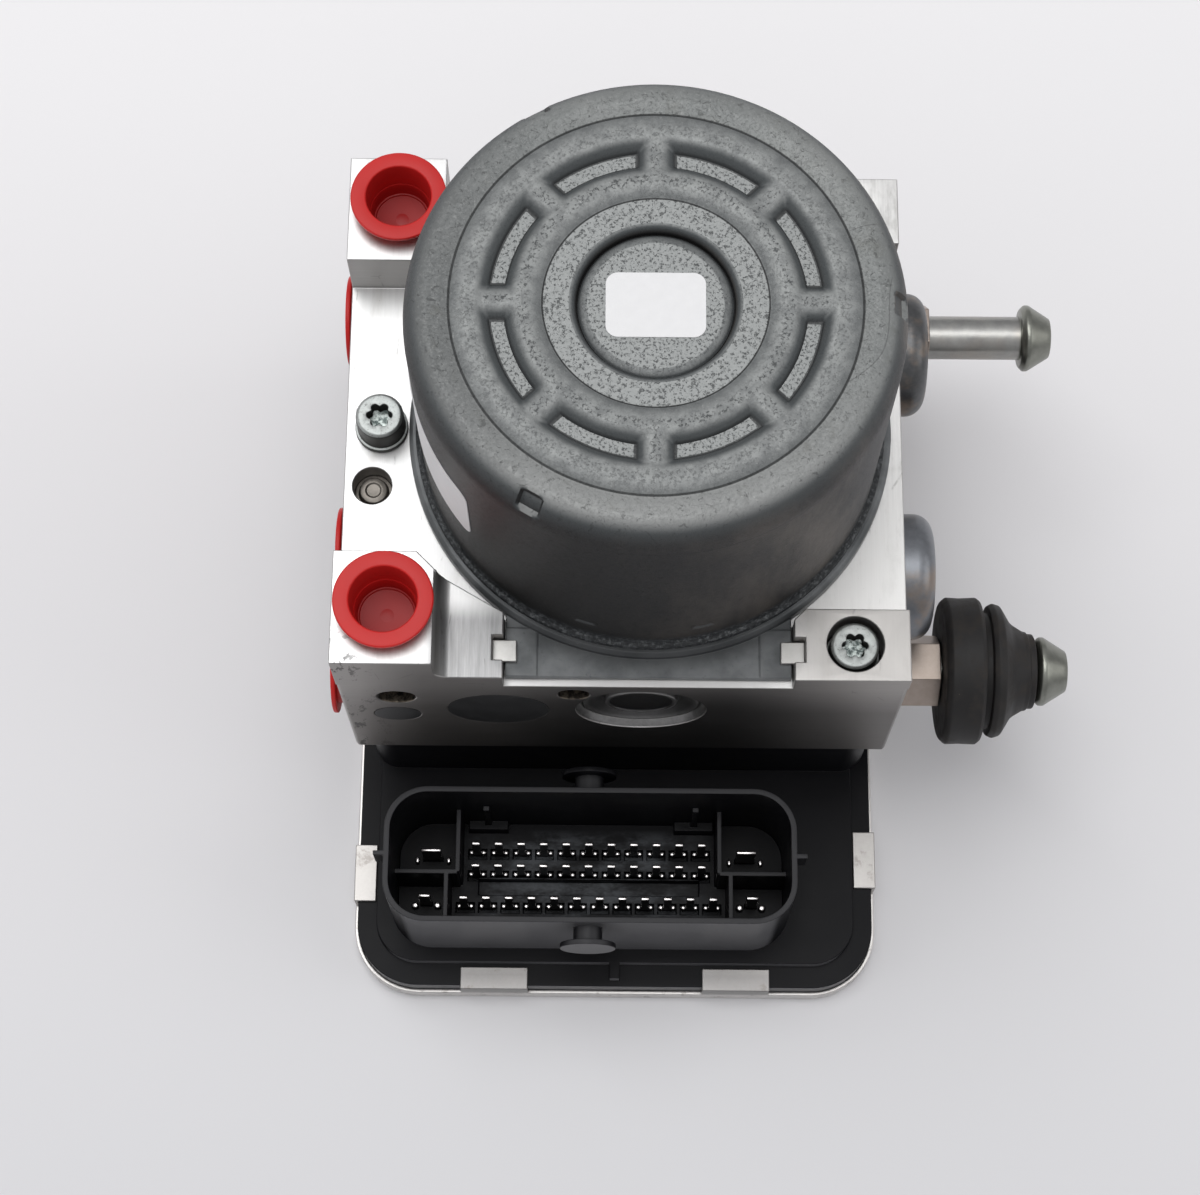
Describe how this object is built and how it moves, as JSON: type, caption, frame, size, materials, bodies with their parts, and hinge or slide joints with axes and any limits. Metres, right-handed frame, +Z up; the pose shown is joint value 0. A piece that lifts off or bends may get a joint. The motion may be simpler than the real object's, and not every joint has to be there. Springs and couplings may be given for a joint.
{
  "type": "abs brake module",
  "caption": "Anti-lock brake hydraulic unit: aluminium valve block with a pump motor on top, control unit with connector below, capped line ports and rubber mount.",
  "frame": {"origin": "on the motor's axis, at the outer face of the control unit's cover", "axes": "+Z up along the motor's axis, -Y towards the connector, +X towards the mounting studs"},
  "size_m": [0.1359, 0.1388, 0.1304],
  "materials": {
    "block_aluminium": "machined",
    "housing_plastic": "satin",
    "cover_sheet": "satin",
    "seal_rubber": "matte",
    "board": "satin",
    "chips": "matte",
    "contacts": "bright",
    "yoke_steel": "zinc",
    "bobbin": "satin",
    "valve_steel": "turned",
    "zinc_screw": "zinc plated",
    "dark_plug": "anodised",
    "ball_steel": "polished",
    "cap_plastic": "moulded",
    "grommet_rubber": "matte",
    "plate_plastic": "satin",
    "clamp_steel": "bright",
    "can_steel": "phosphated",
    "sticker": "blank",
    "magnet": "ground",
    "core_steel": "laminated",
    "copper": "enamelled",
    "shaft_steel": "ground",
    "bronze": "sintered",
    "holder_plastic": "moulded",
    "plug_steel": "turned",
    "spring_steel": "drawn",
    "dome_steel": "satin zinc",
    "piston_aluminium": "anodised",
    "stud_steel": "zinc plated",
    "carbon": "pressed"
  },
  "bodies": {
    "module": {"valve_block": "block_aluminium", "ecu_housing": "housing_plastic", "ecu_cover": "cover_sheet", "ecu_seal": "seal_rubber", "circuit_board": "board", "board_parts": "chips", "signal_pins": "contacts", "power_blades": "contacts", "coil_cans": "yoke_steel", "coil_windings": "bobbin", "valve_cartridges": "valve_steel", "pressure_sensor": "valve_steel", "housing_screws": "zinc_screw", "damper_plug": "dark_plug", "flush_plug": "dark_plug", "sealing_balls": "ball_steel", "bleed_plug": "ball_steel", "mount_grommet": "grommet_rubber", "motor_plate": "plate_plastic", "motor_clamps": "clamp_steel", "motor_can": "can_steel", "top_sticker": "sticker", "side_sticker": "sticker", "field_magnets": "magnet", "top_bush": "bronze", "bearing_outer_ring": "shaft_steel", "bearing_balls": "ball_steel", "brush_holder": "holder_plastic", "front_pump_plug": "plug_steel", "back_pump_plug": "plug_steel", "front_pump_sleeve": "shaft_steel", "back_pump_sleeve": "shaft_steel", "front_piston_spring": "spring_steel", "back_piston_spring": "spring_steel", "front_accumulator_dome": "dome_steel", "back_accumulator_dome": "dome_steel", "front_accumulator_spring": "spring_steel", "back_accumulator_spring": "spring_steel", "front_stud": "stud_steel", "back_stud": "stud_steel", "right_brush_spring": "spring_steel", "left_brush_spring": "spring_steel"},
    "rotor": {"motor_shaft": "shaft_steel", "armature_core": "core_steel", "armature_windings": "copper", "commutator": "copper", "eccentric": "shaft_steel", "bearing_inner_ring": "shaft_steel"},
    "front_piston": {"front_piston": "shaft_steel"},
    "back_piston": {"back_piston": "shaft_steel"},
    "front_accumulator_piston": {"front_accumulator_piston": "piston_aluminium"},
    "back_accumulator_piston": {"back_accumulator_piston": "piston_aluminium"},
    "right_brush": {"right_brush": "carbon"},
    "left_brush": {"left_brush": "carbon"},
    "front_top_cap": {"front_top_cap": "cap_plastic"},
    "back_top_cap": {"back_top_cap": "cap_plastic"},
    "front_side_cap": {"front_side_cap": "cap_plastic"},
    "middle_side_cap": {"middle_side_cap": "cap_plastic"},
    "back_side_cap": {"back_side_cap": "cap_plastic"}
  },
  "joints": [
    {"name": "rotor_spin", "type": "hinge", "parent": "module", "child": "rotor", "pos_m": [0, 0, 0.1], "axis": [0, 0, 1], "continuous": true},
    {"name": "front_piston_stroke", "type": "slide", "parent": "module", "child": "front_piston", "axis": [0, -1, 0], "range_m": [0, 0.0019], "deforming": ["front_piston_spring"]},
    {"name": "back_piston_stroke", "type": "slide", "parent": "module", "child": "back_piston", "axis": [0, 1, 0], "range_m": [0, 0.0019], "deforming": ["back_piston_spring"]},
    {"name": "front_accumulator_stroke", "type": "slide", "parent": "module", "child": "front_accumulator_piston", "axis": [1, 0, 0], "range_m": [0, 0.006], "deforming": ["front_accumulator_spring"]},
    {"name": "back_accumulator_stroke", "type": "slide", "parent": "module", "child": "back_accumulator_piston", "axis": [1, 0, 0], "range_m": [0, 0.006], "deforming": ["back_accumulator_spring"]},
    {"name": "right_brush_lift", "type": "slide", "parent": "module", "child": "right_brush", "axis": [1, 0, 0], "range_m": [0, 0.0025], "deforming": ["right_brush_spring"]},
    {"name": "left_brush_lift", "type": "slide", "parent": "module", "child": "left_brush", "axis": [-1, 0, 0], "range_m": [0, 0.0025], "deforming": ["left_brush_spring"]},
    {"name": "front_top_cap_pull", "type": "slide", "parent": "module", "child": "front_top_cap", "axis": [0, 0, 1], "range_m": [0, 0.016]},
    {"name": "back_top_cap_pull", "type": "slide", "parent": "module", "child": "back_top_cap", "axis": [0, 0, 1], "range_m": [0, 0.016]},
    {"name": "front_side_cap_pull", "type": "slide", "parent": "module", "child": "front_side_cap", "axis": [-1, 0, 0], "range_m": [0, 0.016]},
    {"name": "middle_side_cap_pull", "type": "slide", "parent": "module", "child": "middle_side_cap", "axis": [-1, 0, 0], "range_m": [0, 0.016]},
    {"name": "back_side_cap_pull", "type": "slide", "parent": "module", "child": "back_side_cap", "axis": [-1, 0, 0], "range_m": [0, 0.016]}
  ]
}
